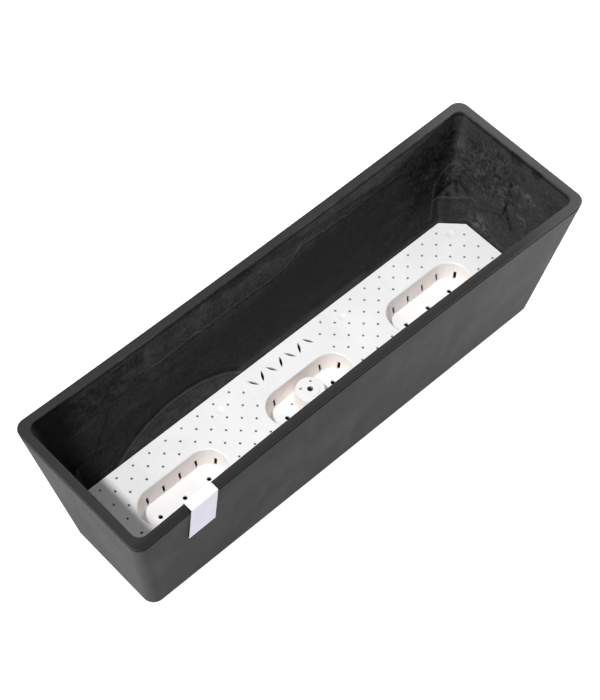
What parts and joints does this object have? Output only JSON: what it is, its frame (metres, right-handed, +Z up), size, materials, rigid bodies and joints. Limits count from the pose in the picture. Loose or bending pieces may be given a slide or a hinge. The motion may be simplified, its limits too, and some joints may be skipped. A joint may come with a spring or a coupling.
{
  "type": "self watering planter",
  "caption": "Tapered rectangular plant trough with a perforated false floor over a water reservoir, slotted soil wells, a capped overflow tower with a turning dial, and a drain plug.",
  "frame": {"origin": "centre of the trough's base, in the plane that it stands on", "axes": "+X along the length, +Y to the rear, away from the side with the label, +Z up"},
  "size_m": [0.5516, 0.1717, 0.1769],
  "materials": {
    "trough": "matte anthracite resin composite, fine mottling outside, cast flow marks inside",
    "insert": "white injection moulding, semi-gloss",
    "dial": "white injection moulding, semi-gloss",
    "seal": "black moulded rubber",
    "plug": "black moulded rubber",
    "label": "plain white coated card, satin"
  },
  "bodies": {
    "trough_body": {"trough": "trough", "rim_label": "label"},
    "insert_body": {"reservoir_insert": "insert", "tower_seal": "seal"},
    "dial_body": {"overflow_dial": "dial"},
    "plug_body": {"drain_plug": "plug"}
  },
  "joints": [
    {"name": "insert_lift", "type": "slide", "parent": "trough_body", "child": "insert_body", "axis": [0, 0, 1], "range_m": [0, 0.18]},
    {"name": "dial_turn", "type": "hinge", "parent": "insert_body", "child": "dial_body", "pos_m": [0, 0, 0.04], "axis": [0, 0, 1], "range_deg": [0, 45]},
    {"name": "plug_pull", "type": "slide", "parent": "trough_body", "child": "plug_body", "axis": [0, 0, 1], "range_m": [0, 0.012]}
  ]
}
